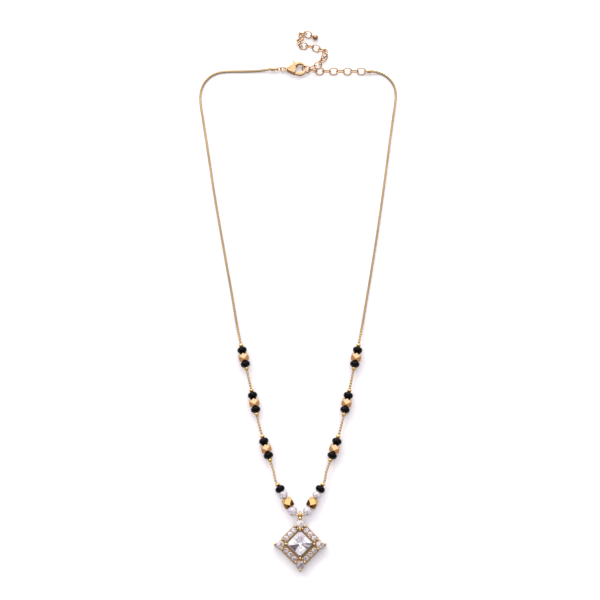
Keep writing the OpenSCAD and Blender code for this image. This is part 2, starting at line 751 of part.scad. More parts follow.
// The joints from the clasp's link to the chain's cap, and those of the tail
main_joints = let (first = at_link_z(main_joint), second = first + step_of(FIRST_LINK, 1))
    concat([first], [for (i = [0:main_links - 1]) second + i * [pitch, 0, 0]]);
tail_joints = [for (i = 0, p = at_link_z(tail_joint); i <= len(TAIL);
    p = i < len(TAIL) ? p + step_of(TAIL[i][0], TAIL[i][1]) : p, i = i + 1) p];
// Links lie leaning one way and the other in turn
function lean_of(i) = i % 2 == 0 ? lean : -lean;

module extender_chain() color(ROSE_GOLD) {
    extender_link(hooked_link, HOOKED_LINK, hooked_lean);
    for (i = [0:main_links - 1])
        extender_link((main_joints[i] + main_joints[i + 1]) / 2, i == 0 ? FIRST_LINK : 0,
            lean_of(i + 1));
    for (i = [0:len(TAIL) - 1])
        extender_link((tail_joints[i] + tail_joints[i + 1]) / 2 + [0, 0, TAIL[i][2] * link_wire], TAIL[i][0],
            lean_of(i + 1));
}

// The ball, with its eye hooked into the end of the last link
last_link = TAIL[len(TAIL) - 1];
drop_joint = tail_joints[len(TAIL)] + step_of(last_link[0], (1 - last_link[1]) / 2);
ball_sink = 0.3;
module extender_drop() color(ROSE_GOLD)
    translate([0, 0, drop_d / 2 - link_z] + drop_joint) rotate(last_link[0]) {
        translate([eye_off, 0, 0]) rotate([lean_of(len(TAIL) + 1), 0, 0]) torus(cap_eye_d, ring_wire);
        translate([eye_off + (cap_eye_d + drop_d) / 2 - ball_sink, 0, 0]) sphere(d = drop_d);
    }

box_chain("left");  // box_chain_left
box_chain("right");  // box_chain_right
bead_wire();
for (side = SIDES) crimps(side);
for (side = SIDES) for (key = BLACK_KEYS)
    black_bead(side, key);
for (side = SIDES) for (group = [1:GROUPS])
    gold_nugget(side, group);
for (side = SIDES) large_nugget(side);
for (side = SIDES) for (place = ["upper", "lower"])
    crystal_bead(side, place);
pendant_setting();
centre_stone();
side_stones();
for (corner = CORNERS) corner_stone(corner);
chain_cap_left();
chain_cap_right();
oval_ring();
round_ring();
clasp_body();
clasp_lever();
clasp_rivet();
extender_chain();
extender_drop();
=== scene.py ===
import math

import bpy
import numpy as np
from mathutils import Matrix


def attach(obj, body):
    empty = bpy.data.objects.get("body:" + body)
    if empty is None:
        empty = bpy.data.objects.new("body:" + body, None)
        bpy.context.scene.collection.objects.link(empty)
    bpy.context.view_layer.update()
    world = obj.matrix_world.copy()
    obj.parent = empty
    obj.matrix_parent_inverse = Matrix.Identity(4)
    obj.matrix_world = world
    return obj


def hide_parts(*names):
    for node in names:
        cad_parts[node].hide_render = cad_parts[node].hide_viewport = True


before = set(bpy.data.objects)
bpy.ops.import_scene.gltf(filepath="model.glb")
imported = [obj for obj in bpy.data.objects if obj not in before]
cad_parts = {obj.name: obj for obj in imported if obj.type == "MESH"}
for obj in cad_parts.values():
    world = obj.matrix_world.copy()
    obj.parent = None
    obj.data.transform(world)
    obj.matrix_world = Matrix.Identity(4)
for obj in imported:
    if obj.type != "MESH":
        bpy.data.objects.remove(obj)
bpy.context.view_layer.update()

# Sizes are in millimetres up to the point where a mesh is made, as in the part's source.
MM = 0.001


# Nodes

class Wire:
    """A socket in a material. Sums, differences, products and shares of wires add Math nodes."""

    def __init__(self, tree, socket=None):
        self.tree, self.socket = tree, socket

    def node(self, kind, settings=None, values=None, out=0):
        """Adds a node: its settings, then the values or wires of its sockets. Gives one output."""
        node = self.tree.nodes.new(kind)
        for key, value in (settings or {}).items():
            if key == "stops":
                stops = node.color_ramp.elements
                while len(stops) < len(value):
                    stops.new(1.0)
                for stop, (place, colour) in zip(stops, value):
                    stop.position, stop.color = place, colour
            else:
                setattr(node, key, value)
        for key, value in (values or {}).items():
            if isinstance(value, Wire):
                self.tree.links.new(value.socket, node.inputs[key])
            else:
                node.inputs[key].default_value = value
        return Wire(self.tree, node.outputs[out])

    def math(self, operation, *terms):
        return self.node("ShaderNodeMath", {"operation": operation}, dict(enumerate(terms)))

    def __add__(self, other):
        return self.math("ADD", self, other)

    def __sub__(self, other):
        return self.math("SUBTRACT", self, other)

    def __mul__(self, other):
        return self.math("MULTIPLY", self, other)

    def __rsub__(self, other):
        return self.math("SUBTRACT", other, self)

    __radd__, __rmul__ = __add__, __mul__


# Camera and light

def aim(thing, place, target):
    """Puts a camera or a light at a place, looking at a target, with the picture's top upwards."""
    place, target = np.array(place, float), np.array(target, float)
    back = (place - target) / np.linalg.norm(place - target)
    right = np.cross((0.0, 1.0, 0.0), back)
    right /= np.linalg.norm(right)
    up = np.cross(back, right)
    turn = np.eye(4)
    turn[:3, 0], turn[:3, 1], turn[:3, 2], turn[:3, 3] = right, up, back, place * MM
    thing.matrix_world = Matrix(turn.tolist())
    bpy.context.scene.collection.objects.link(thing)
    return thing


# In front of the table, looking down at the middle of the necklace
CAMERA_PLACE, CAMERA_TARGET = (0.85, -180.35, 532.6), (0.85, -7.3, 0.0)
SENSOR_WIDTH, FOCAL_LENGTH = 36.0, 80.64

lens = bpy.data.cameras.new("camera")
lens.sensor_width, lens.lens = SENSOR_WIDTH, FOCAL_LENGTH
lens.clip_start, lens.clip_end = 0.01, 10.0
camera = aim(bpy.data.objects.new("camera", lens), CAMERA_PLACE, CAMERA_TARGET)
bpy.context.scene.camera = camera
bpy.context.scene.view_settings.view_transform = "Standard"


def softbox(name, place, target, size, power, colour):
    """A rectangular area light with its sides in millimetres."""
    lamp = bpy.data.lights.new(name, "AREA")
    lamp.shape = "RECTANGLE"
    lamp.size, lamp.size_y = size[0] * MM, size[1] * MM
    lamp.energy = power
    lamp.color = colour
    aim(bpy.data.objects.new(name, lamp), place, target)


# A wide softbox beyond the clasp's end of the table, and a small one at the left for highlights
softbox("softbox_key", place=(0, 950, 700), target=(0, 0, 0), size=(1600, 500), power=9.0,
        colour=(1.0, 0.99, 0.98))
softbox("softbox_spot", place=(-450, 250, 430), target=(0, -30, 0), size=(95, 65), power=0.9,
        colour=(1.0, 0.99, 0.97))


def paint_sky(levels, towards):
    """The studio's ceiling: grey levels by the cosine of the angle from one direction."""
    world = bpy.data.worlds.new("studio")
    world.use_nodes = True
    wire = Wire(world.node_tree)
    around = wire.node("ShaderNodeTexCoord", out="Generated")
    cosine = wire.node("ShaderNodeVectorMath", {"operation": "DOT_PRODUCT"},
                       {0: around, 1: towards}, out="Value")
    stops = [(place, (level, 0.95 * level, 0.98 * level, 1.0)) for place, level in levels]
    ramp = wire.node("ShaderNodeValToRGB", {"stops": stops}, {0: cosine})
    world.node_tree.links.new(ramp.socket, world.node_tree.nodes["Background"].inputs["Color"])
    bpy.context.scene.world = world


# Dim round the horizon and bright overhead, a little towards the clasp's end
paint_sky([(0.0, 0.38), (0.45, 0.38), (0.7, 0.75), (0.86, 1.15)], towards=(0.0, 0.35, 0.937))


# Materials

def mottle(wire, size, detail=2.0):
    """Soft noise whose patches are about size millimetres across, from 0 to 1."""
    place = wire.node("ShaderNodeTexCoord", out="Object")
    return wire.node("ShaderNodeTexNoise", {"noise_dimensions": "3D"},
                     {"Vector": place, "Scale": 1 / (size * MM), "Detail": detail}, out="Fac")


def blend_colours(wire, share, first, second):
    """Mixes two colours by a wire from 0 to 1."""
    return wire.node("ShaderNodeMix", {"data_type": "RGBA"},
                     {"Factor": share, "A": first, "B": second}, out="Result")


def make_finish(name, fixed, paint):
    """A material. Fixed numbers are set on the shader, and paint gives the sockets that vary."""
    material = bpy.data.materials.new(name)
    material.use_nodes = True
    tree = material.node_tree
    tree.nodes.clear()
    wire = Wire(tree)
    varied = paint(wire)
    shader = wire.node("ShaderNodeBsdfPrincipled", {}, {**fixed, **varied}, out="BSDF")
    output = tree.nodes.new("ShaderNodeOutputMaterial")
    tree.links.new(shader.socket, output.inputs["Surface"])
    return material


def rgb(red, green, blue):
    """A colour as linear light."""
    return (red, green, blue, 1.0)


def axes(wire, vector):
    """The X, Y and Z of a vector, as three wires."""
    split = wire.node("ShaderNodeSeparateXYZ", {}, {0: vector})
    return [Wire(wire.tree, split.socket.node.outputs[axis]) for axis in "XYZ"]


def painted_light_share(wire, up, far):
    """How much painted light a surface gets, from 0 to 1, as it faces the sky and the clasp's end
    of
    the table: up times the square of its normal's Z, plus far times its normal's Y, plus what up
    leaves of 1."""
    _, toward_y, toward_z = axes(wire, wire.node("ShaderNodeTexCoord", out="Normal"))
    level = up * (toward_z * toward_z) + far * toward_y + (1.0 - up)
    return wire.node("ShaderNodeClamp", {}, {0: level})


def rise(wire, value, low, high):
    """0 where a value is low, 1 where it is high, and evenly between them."""
    return wire.node("ShaderNodeMapRange", {},
                     {"Value": value, "From Min": low, "From Max": high})


def painted_facet_light(wire, spread, darkest, palest):
    """Painted light for each flat facet, from 0 to 1: soft noise over the directions that facets
    face.
    Facets whose directions differ by more than spread have painted tones of their own."""
    direction = wire.node("ShaderNodeTexCoord", out="Normal")
    noise = wire.node("ShaderNodeTexNoise", {"noise_dimensions": "3D"},
                      {"Vector": direction, "Scale": 1 / spread, "Detail": 0.0}, out="Fac")
    return rise(wire, noise, darkest, palest)


# How deep a full bump is in every finish
BUMP_DEPTH = 0.02


def bump(wire, height, strength):
    """Fine dents, as a bend of the normal by a height from 0 to 1."""
    return wire.node("ShaderNodeBump", {},
                     {"Strength": strength, "Distance": BUMP_DEPTH * MM, "Height": height},
                     out="Normal")


def metal(name, pale, deep, shade, smooth, worn, up=0.35, far=0.1, cut=False):
    """Plated metal. The colour drifts between two tints over patches, or, where the metal is cut,
    by painted light from facet to facet, and painted shade makes it browner on sides that turn
    from the sky and on those that face down the table. The polish drifts with fine handling marks."""
    def paint(wire):
        # Where the metal is cut, the drift is painted light: a tone for each facet
        drift = painted_facet_light(wire, 0.4, darkest=0.4, palest=0.6) if cut else mottle(wire, 3.0)
        marks = mottle(wire, 0.25, 4.0)
        tint = blend_colours(wire, drift, pale, deep)
        return {
            # Painted shade: browner on sides that turn from the sky and on those that face down
            # the table
            "Base Color": blend_colours(wire, painted_light_share(wire, up, far), shade, tint),
            "Roughness": smooth + (worn - smooth) * (drift * 0.6 + marks * 0.4),
            "Normal": bump(wire, marks, 0.2),
        }
    return make_finish(name, {"Metallic": 1.0}, paint)


gold = metal("gold_plating", pale=rgb(0.97, 0.70, 0.34), deep=rgb(0.88, 0.56, 0.21),
             shade=rgb(0.14, 0.07, 0.02), smooth=0.08, worn=0.18)
cast_gold = metal("cast_gold", pale=rgb(0.92, 0.65, 0.36), deep=rgb(0.82, 0.52, 0.25),
                  shade=rgb(0.20, 0.08, 0.022), smooth=0.12, worn=0.22, up=0.7, far=0.25)
cut_gold = metal("cut_gold", pale=rgb(1.0, 0.82, 0.53), deep=rgb(0.86, 0.56, 0.26),
                 shade=rgb(0.38, 0.19, 0.07), smooth=0.06, worn=0.14, up=1.1, far=0.3, cut=True)
amber_gold = metal("amber_gold", pale=rgb(1.0, 0.76, 0.35), deep=rgb(0.92, 0.60, 0.21),
                   shade=rgb(0.20, 0.085, 0.012), smooth=0.06, worn=0.14, up=1.05, far=0.5,
                   cut=True)
rose_gold = metal("rose_gold", pale=rgb(0.90, 0.59, 0.30), deep=rgb(0.68, 0.41, 0.19),
                  shade=rgb(0.18, 0.08, 0.028), smooth=0.10, worn=0.24, up=0.7, far=0.1)
# A darker rose gold, for the extender's end drop
dark_rose = metal("dark_rose_gold", pale=rgb(0.62, 0.37, 0.22), deep=rgb(0.46, 0.26, 0.15),
                  shade=rgb(0.12, 0.05, 0.03), smooth=0.12, worn=0.28, up=0.5, far=0.1)


def paint_chain(wire):
    """The box chain's plating: each link's painted light or shade, as its flats catch the light or
    turn from it, painted shade on sides that turn from the sky, and a slow drift of colour along
    the run."""
    # Each link's painted light and shade, from its tint
    link = wire.node("ShaderNodeAttribute", {"attribute_name": "tint"}, out="Color")
    drift, marks = mottle(wire, 6.0), mottle(wire, 0.2, 3.0)
    tint = blend_colours(wire, drift, rgb(0.97, 0.76, 0.34), rgb(0.93, 0.66, 0.24))
    shaded = wire.node("ShaderNodeMix", {"data_type": "RGBA", "blend_type": "MULTIPLY"},
                       {"Factor": 1.0, "A": tint, "B": link}, out="Result")
    return {
        # Painted shade on sides that turn from the sky
        "Base Color": blend_colours(wire, painted_light_share(wire, 1.0, 0.1), rgb(0.22, 0.10, 0.025), shaded),
        "Roughness": 0.29 + 0.1 * marks,
    }


chain_gold = make_finish("box_chain_gold", {"Metallic": 1.0}, paint_chain)


# Heights between which the setting's plate gives way to its beads and prongs, and places on Y
# between which its frame gives way to the bail
PLATE_TO_BEADS = 2.66, 2.95
FRAME_TO_BAIL = -99.6, -99.2


def paint_setting(wire):
    """The setting's plating: bright on beads, prongs and bail, olive and duller on the plate and
    its walls, with a soft change between them, and painted shade on sides that turn from the sky."""
    drift, marks = mottle(wire, 2.0), mottle(wire, 0.25, 4.0)
    _, along, height = axes(wire, wire.node("ShaderNodeTexCoord", out="Object"))
    raised = rise(wire, height, *(z * MM for z in PLATE_TO_BEADS))
    hanging = rise(wire, along, *(y * MM for y in FRAME_TO_BAIL))
    plate = blend_colours(wire, drift, rgb(0.26, 0.155, 0.075), rgb(0.095, 0.055, 0.025))
    bright = blend_colours(wire, drift, rgb(1.0, 0.74, 0.40), rgb(0.90, 0.58, 0.26))
    tint = blend_colours(wire, wire.math("MAXIMUM", raised, hanging), plate, bright)
    return {
        # Painted shade on sides that turn from the sky and on those that face down the table
        "Base Color": blend_colours(wire, painted_light_share(wire, 0.6, 0.15), rgb(0.19, 0.12, 0.065), tint),
        "Roughness": 0.12 + 0.12 * marks + 0.1 * (1.0 - raised),
        "Normal": bump(wire, marks, 0.25),
    }


setting_gold = make_finish("setting_gold", {"Metallic": 1.0}, paint_setting)


def paint_black(wire):
    """Black glass, faintly brown, with slightly duller patches."""
    drift = mottle(wire, 1.2)
    return {
        "Base Color": blend_colours(wire, drift, rgb(0.0010, 0.0008, 0.0009),
                                    rgb(0.0030, 0.0020, 0.0020)),
        "Roughness": 0.03 + 0.04 * mottle(wire, 0.6, 3.0),
        "Normal": bump(wire, mottle(wire, 0.5), 0.03),
    }


black_glass = make_finish("black_glass", {"IOR": 1.5, "Specular IOR Level": 0.12}, paint_black)


def paint_crystal(wire):
    """Clear cut crystal, painted white or lilac by the facet as painted highlights and shade. It
    has a faint painted glow.
    """
    tone = painted_facet_light(wire, 0.3, darkest=0.38, palest=0.6)
    tint = blend_colours(wire, tone, rgb(0.52, 0.47, 0.54), rgb(1.0, 0.97, 1.0))
    return {
        "Base Color": tint,
        "Emission Color": tint,
        "Roughness": 0.01 + 0.04 * mottle(wire, 0.8, 3.0),
    }


# The emission is a painted glow
crystal = make_finish("crystal", {"IOR": 1.55, "Transmission Weight": 0.5,
                                  "Emission Strength": 0.08}, paint_crystal)


def paint_stone(wire):
    """Cut stone: each facet's painted light, shade and reflections, as light inside the stone
    gives it, with a faint drift and a faint painted glow.
    """
    tint = wire.node("ShaderNodeAttribute", {"attribute_name": "tint"}, out="Color")
    drift = blend_colours(wire, 0.12 * mottle(wire, 0.7), tint, rgb(0.75, 0.70, 0.80))
    return {
        "Base Color": drift,
        "Emission Color": drift,
        "Roughness": 0.01 + 0.04 * mottle(wire, 0.8, 3.0),
    }


# The emission is a painted glow
zircon = make_finish("zircon", {"IOR": 1.7, "Emission Strength": 0.06}, paint_stone)


def paint_paper(wire):
    """White table paper with a faint grain, lit a little from below as a light table is."""
    grain = mottle(wire, 0.8, 4.0)
    white = blend_colours(wire, mottle(wire, 60.0), rgb(0.93, 0.93, 0.94), rgb(0.90, 0.90, 0.92))
    return {
        "Base Color": white,
        "Emission Color": blend_colours(wire, mottle(wire, 80.0), rgb(0.95, 0.92, 1.0),
                                        rgb(0.97, 0.93, 0.98)),
        "Roughness": 0.75 + 0.15 * grain,
        "Normal": bump(wire, grain, 0.05),
    }


paper = make_finish("table_paper", {"Emission Strength": 0.18}, paint_paper)


# Meshes

def piece(name, points, faces, material, smooth=False):
    """A mesh object from points in millimetres, at the origin."""
    mesh = bpy.data.meshes.new(name)
    mesh.from_pydata((np.asarray(points) * MM).tolist(), [], [list(face) for face in faces])
    mesh.materials.append(material)
    mesh.polygons.foreach_set("use_smooth", np.full(len(mesh.polygons), smooth))
    made = bpy.data.objects.new(name, mesh)
    bpy.context.scene.collection.objects.link(made)
    return made


def tinted(made, tints):
    """Gives each face its tint, as a colour on each of its corners."""
    mesh = made.data
    counts = np.empty(len(mesh.polygons), np.int32)
    mesh.polygons.foreach_get("loop_total", counts)
    colours = np.ones((counts.sum(), 4))
    colours[:, :3] = np.repeat(np.asarray(tints), counts, axis=0)
    mesh.color_attributes.new("tint", "FLOAT_COLOR", "CORNER").data.foreach_set(
        "color", colours.ravel())
    return made


# The table's sheet of paper, wide enough to fill the picture
FLOOR_HALF = 1500
FLOOR_CORNERS = np.array([[-1, -1, 0], [1, -1, 0], [1, 1, 0], [-1, 1, 0]])
floor = piece("floor", FLOOR_HALF * FLOOR_CORNERS, [[0, 1, 2, 3]], paper)


# Box chain

# Routes of the two chains, as in the part's source
LEFT_ROUTE = np.array([
    [-8.024, -85.156, 2.05], [-8.687, -83.98, 2.05], [-9.6, -80, 1.893], [-11.2, -75.1, 2.05],
    [-12.8, -70.3, 2.05], [-14.3, -65.6, 2.05], [-15.6, -61, 1.579], [-16.7, -56.3, 2.05],
    [-17.8, -51.3, 2.05], [-18.9, -46.4, 2.05], [-20, -41.7, 1.579], [-21.1, -37.1, 2.05],
    [-22.3, -32.2, 2.05], [-23.4, -27.3, 2.05], [-25.1, -19, 0.951], [-27.2, -7, 0.48],
    [-29.4, 5, 0.48], [-31.6, 17, 0.48], [-33.8, 29, 0.48], [-35.9, 41, 0.48],
    [-37.8, 53, 0.48], [-39.7, 65, 0.48], [-41.5, 76, 0.48], [-42.5, 82, 0.48],
    [-42.8, 86.3, 0.48], [-42.3, 90, 0.48], [-40.7, 93.5, 0.48], [-38.3, 96.1, 0.48],
    [-35.3, 97.7, 0.48], [-31, 98.3, 0.48], [-25, 98.4, 0.48], [-19, 98.6, 0.48],
    [-15, 98.9, 0.794], [-11.885, 99.1, 1.3], [-10.985, 99.1, 1.3],
])
RIGHT_ROUTE = np.array([
    [9.824, -85.156, 2.05], [10.487, -83.98, 2.05], [11.3, -80.1, 1.893], [13.1, -75.1, 2.05],
    [14.8, -70.3, 2.05], [16.3, -65.6, 2.05], [17.5, -61, 1.579], [18.7, -56.2, 2.05],
    [19.8, -51.3, 2.05], [20.9, -46.5, 2.05], [21.9, -41.8, 1.579], [22.9, -37.1, 2.05],
    [23.9, -32.2, 2.05], [24.9, -27.4, 2.05], [26.5, -19, 0.951], [28.6, -7, 0.48],
    [30.7, 5, 0.48], [32.7, 17, 0.48], [34.6, 29, 0.48], [36.4, 41, 0.48], [38.1, 53, 0.48],
    [39.8, 65, 0.48], [41.4, 76, 0.48], [42.3, 82, 0.48], [42.8, 86.3, 0.48],
    [42.5, 90, 0.48], [41.2, 93.2, 0.48], [39, 95.8, 0.48], [36.4, 97.4, 0.48],
    [34.6, 97.9, 0.794], [32.086, 98.05, 1.275], [31.186, 98.05, 1.275],
])


def smooth_route(points, step=0.05):
    """A rounded curve through the points: each stretch is a cubic whose slope at a point runs
    from the point before it to the point after it, per length. Gives places a step apart."""
    gaps = np.linalg.norm(np.diff(points, axis=0), axis=1)
    at = np.concatenate([[0.0], np.cumsum(gaps)])
    slopes = np.gradient(points, at, axis=0)
    s = np.arange(0.0, at[-1], step)
    i = np.clip(np.searchsorted(at, s, side="right") - 1, 0, len(gaps) - 1)
    u = ((s - at[i]) / gaps[i])[:, None]
    h = gaps[i][:, None]
    return ((2 * u**3 - 3 * u**2 + 1) * points[i] + (u**3 - 2 * u**2 + u) * h * slopes[i]
            + (3 * u**2 - 2 * u**3) * points[i + 1] + (u**3 - u**2) * h * slopes[i + 1])


# A link: the step from one to the next, its length, width and cut corners, and its band
BOX_PITCH = 0.594
BOX_LONG = 0.93
BOX_WIDE = 0.86
BOX_CUT = 0.14
BAND_THICK = 0.12
BAND_DEEP = 0.64
# Corners of a link in order round it: signs of X and Y, then whether the cut is off X or off Y
LINK_CORNERS = np.array([[1, -1, 0, 1], [1, 1, 0, 1], [1, 1, 1, 0], [-1, 1, 1, 0],
                         [-1, 1, 0, 1], [-1, -1, 0, 1], [-1, -1, 1, 0], [1, -1, 1, 0]])
# The band's section as shares of its thickness, from inside to outside, and of half its depth
BAND_SECTION = np.array([[1, -0.84], [0.6, -1], [0, -0.8], [0, 0.8], [0.6, 1], [1, 0.84]])

# The chain's slow twist, and the swing of its painted sheen, by sines of the length run
TWIST = math.radians(3.0)
TWIST_RUN = 9.0
SHEEN = 0.08
SHEEN_RUN = 3.0
# How far on each side of a link the route is read for its direction
AIM_REACH = 0.3
# Painted light and shade: tints of the links that stand up, painted lit, and of those that lie
# flat, painted in shade
UPRIGHT_LIT_TINT, FLAT_SHADED_TINT = [1.0, 0.98, 0.97], [0.14, 0.065, 0.018]
# Painted shade on the chain along the table, deeper near the beads and at the bow's top: places
# on Y and shares of the light, and the powers by which red, green and blue follow them
CHAIN_PAINTED_SHADE = [-25, 60, 85, 96], [0.80, 1.0, 1.0, 0.72]
DEPTH_HUE = [0.9, 1.05, 1.2]


def box_link():
    """One link of box chain about the origin, along X: a square ring with cut corners in the XY
    plane, whose band has a six-sided section. Gives its points and faces."""
    inset = (1 - BAND_SECTION[:, 0]) * BAND_THICK
    sign_x, sign_y, cut_x, cut_y = LINK_CORNERS.T[:, :, None]
    x = sign_x * (BOX_LONG / 2 - inset - BOX_CUT * cut_x)
    y = sign_y * (BOX_WIDE / 2 - inset - BOX_CUT * cut_y)
    z = np.broadcast_to(BAND_SECTION[:, 1] * BAND_DEEP / 2, x.shape)
    points = np.stack([x, y, z], axis=2).reshape(-1, 3)
    n, m = len(LINK_CORNERS), len(BAND_SECTION)
    i, k = np.meshgrid(np.arange(n), np.arange(m), indexing="ij")
    j, l = (i + 1) % n, (k + 1) % m
    faces = np.stack([i * m + k, j * m + k, j * m + l, i * m + l], axis=2).reshape(-1, 4)
    return points, faces


def box_chain(name, route, node):
    """Links set along a route one pitch apart, each turned a quarter from the last, on a slow
    twist that follows a sine of the length. The curve is kept from dipping under the route."""
    curve = smooth_route(route)
    curve[:, 2] = np.maximum(curve[:, 2], route[:, 2].min())
    run = np.concatenate([[0.0], np.cumsum(np.linalg.norm(np.diff(curve, axis=0), axis=1))])
    at = np.arange(BOX_LONG / 2, run[-1] - BOX_LONG / 2, BOX_PITCH)
    place, behind, ahead = (np.stack([np.interp(at + step, run, axis) for axis in curve.T], axis=1)
                            for step in (0, -AIM_REACH, AIM_REACH))
    along = ahead - behind
    along /= np.linalg.norm(along, axis=1)[:, None]
    across = np.cross(along, (0.0, 0.0, 1.0))
    across /= np.linalg.norm(across, axis=1)[:, None]
    up = np.cross(across, along)
    upright = np.arange(len(at)) % 2
    turn = TWIST * np.sin(at / TWIST_RUN) + upright * math.pi / 2
    side = across * np.cos(turn)[:, None] + up * np.sin(turn)[:, None]
    top = up * np.cos(turn)[:, None] - across * np.sin(turn)[:, None]
    points, faces = box_link()
    spread = (place[:, None] + along[:, None] * points[None, :, :1]
              + side[:, None] * points[None, :, 1:2] + top[:, None] * points[None, :, 2:])
    every = faces[None] + np.arange(len(at))[:, None, None] * len(points)
    # Painted light and shade: upright links lit, flat ones in shade, with painted sheen and shade
    level = np.where(upright[:, None], UPRIGHT_LIT_TINT, FLAT_SHADED_TINT)
    painted_light = (1 - SHEEN + SHEEN * np.sin(at / SHEEN_RUN)) * np.interp(place[:, 1], *CHAIN_PAINTED_SHADE)
    tints = np.repeat(level * painted_light[:, None] ** DEPTH_HUE, len(faces), axis=0)
    chain = tinted(piece(name, spread.reshape(-1, 3), every.reshape(-1, 4), chain_gold), tints)
    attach(chain, "necklace")
    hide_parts(node)


box_chain("box_links_left", LEFT_ROUTE, "box_chain_left")
box_chain("box_links_right", RIGHT_ROUTE, "box_chain_right")


# Cut stones, in a frame turned so that the pendant lies square

# The pendant's middle, the line of side stones from it and their pitch, as in the part's source
PENDANT = np.array([0.9, -108.75])
SIDE_LINE = 5.575
SIDE_PITCH = 2.2
# Radii of the round stones, and heights of the girdles above the table
SIDE_R, CORNER_R = 1.02, 1.55
SIDE_GIRDLE, CORNER_GIRDLE, CENTRE_GIRDLE = 2.9, 3.05, 2.75


def on_pendant(points):
    """Turns points by an eighth of a turn about the vertical and sets them at the pendant."""
    turn = math.sqrt(0.5)
    x, y = points[..., 0], points[..., 1]
    return np.stack([PENDANT[0] + (x - y) * turn, PENDANT[1] + (x + y) * turn, points[..., 2]],
                    axis=-1)


def ring(radius, height, count, turn):
    """Points evenly round a circle; turn is in steps."""
    a = 2 * math.pi * (np.arange(count) + turn) / count
    return np.stack([radius * np.cos(a), radius * np.sin(a), np.full(count, height)], axis=1)


# Rings of a round stone of radius 1 with its girdle at height 0: radius, height, number of points
# and turn in steps. From the top: the table, the stars' points, the girdle, its lower edge, the
# lower halves' points and the culet
ROUND_RINGS = [(0.56, 0.34, 8, 0), (0.80, 0.22, 8, 0.5), (1, 0, 16, 0), (1, -0.06, 16, 0),
               (0.5, -0.5, 8, 0.5), (0.05, -0.86, 8, 0)]
# Kinds of facet, in the order of their tints
TABLE, STAR, KITE, UPPER_HALF, GIRDLE, LOWER_HALF, MAIN = range(7)


def brilliant():
    """A round cut stone, from its rings of points: a table of eight triangles that show the eight
    mains below it, eight stars, eight kites, sixteen upper halves, the girdle, sixteen lower
    halves, and eight mains that meet in a small culet. Gives points, faces, and each face's kind
    and place in its kind."""
    middle_height = ROUND_RINGS[0][1]
    points = np.concatenate([*(ring(*row) for row in ROUND_RINGS), [[0, 0, middle_height]]])
    table, star, girdle, under, belly, culet, middle = np.cumsum(
        [0, *(count for _, _, count, _ in ROUND_RINGS)]).tolist()
    faces, kinds = [], []
    for i in range(8):
        j, last = (i + 1) % 8, (i - 1) % 8
        g, h, k = 2 * i, 2 * i + 1, (2 * i + 2) % 16
        faces += [[table + i, table + j, middle], [table + i, star + i, table + j],
                  [table + i, star + last, girdle + g, star + i],
                  [star + i, girdle + g, girdle + h], [star + i, girdle + h, girdle + k],
                  [girdle + g, under + g, under + h, girdle + h],
                  [girdle + h, under + h, under + k, girdle + k],
                  [belly + i, under + h, under + g], [belly + i, under + k, under + h],
                  [culet + i, belly + i, under + g, belly + last],
                  [culet + i, culet + j, belly + i]]
        kinds += [(TABLE, i), (STAR, i), (KITE, i), (UPPER_HALF, g), (UPPER_HALF, h), (GIRDLE, g),
                  (GIRDLE, h), (LOWER_HALF, g), (LOWER_HALF, h), (MAIN, i), (MAIN, i)]
    faces.append([*range(culet + 7, culet - 1, -1)])
    kinds.append((MAIN, 0))
    return points, faces, np.array(kinds)


# Painted shade and painted light of each kind of facet: the darker and the lighter end of its
# tint, a row for each kind
DARK_TINT = np.array([[0.05, 0.03, 0.05], [0.22, 0.16, 0.20], [0.50, 0.42, 0.46],
                      [0.60, 0.50, 0.50], [0.50, 0.40, 0.34], [0.5, 0.45, 0.5], [0.4, 0.36, 0.42]])
LIGHT_TINT = np.array([[0.85, 0.80, 0.88], [1.0, 0.96, 1.0], [1.0, 0.99, 1.0],
                       [1.0, 0.98, 0.99], [0.92, 0.86, 0.80], [0.8, 0.76, 0.8], [0.7, 0.66, 0.72]])


# How far the sine of a facet's tone moves on from facet to facet, on the table and off it, from
# stone to stone and from kind to kind
TABLE_BEAT, FACET_BEAT, STONE_BEAT, KIND_BEAT = math.pi / 4, 2.4, 1.7, 1.1
# How much of red, green and blue the warmest stone loses, and the sine that picks it
WARMTH = [0.10, 0.18, 0.24]
WARM_BEAT, WARM_START = 1.3, 0.4
# Painted light on a stone: white mixed into it, and light left on it: the share at the pendant's
# middle, what it gains for each millimetre up a side and across, and its least and most
PALENESS = 0.12, 0.025, 0.0, 0.45
BRIGHTNESS = 1.0, 0.045, 0.58, 1.0
MIXED_WHITE = 0.9


def graded(grade, far_up):
    """A share that rises evenly up the table, between its limits."""
    middle, gain, least, most = grade
    return np.clip(middle + gain * far_up, least, most)


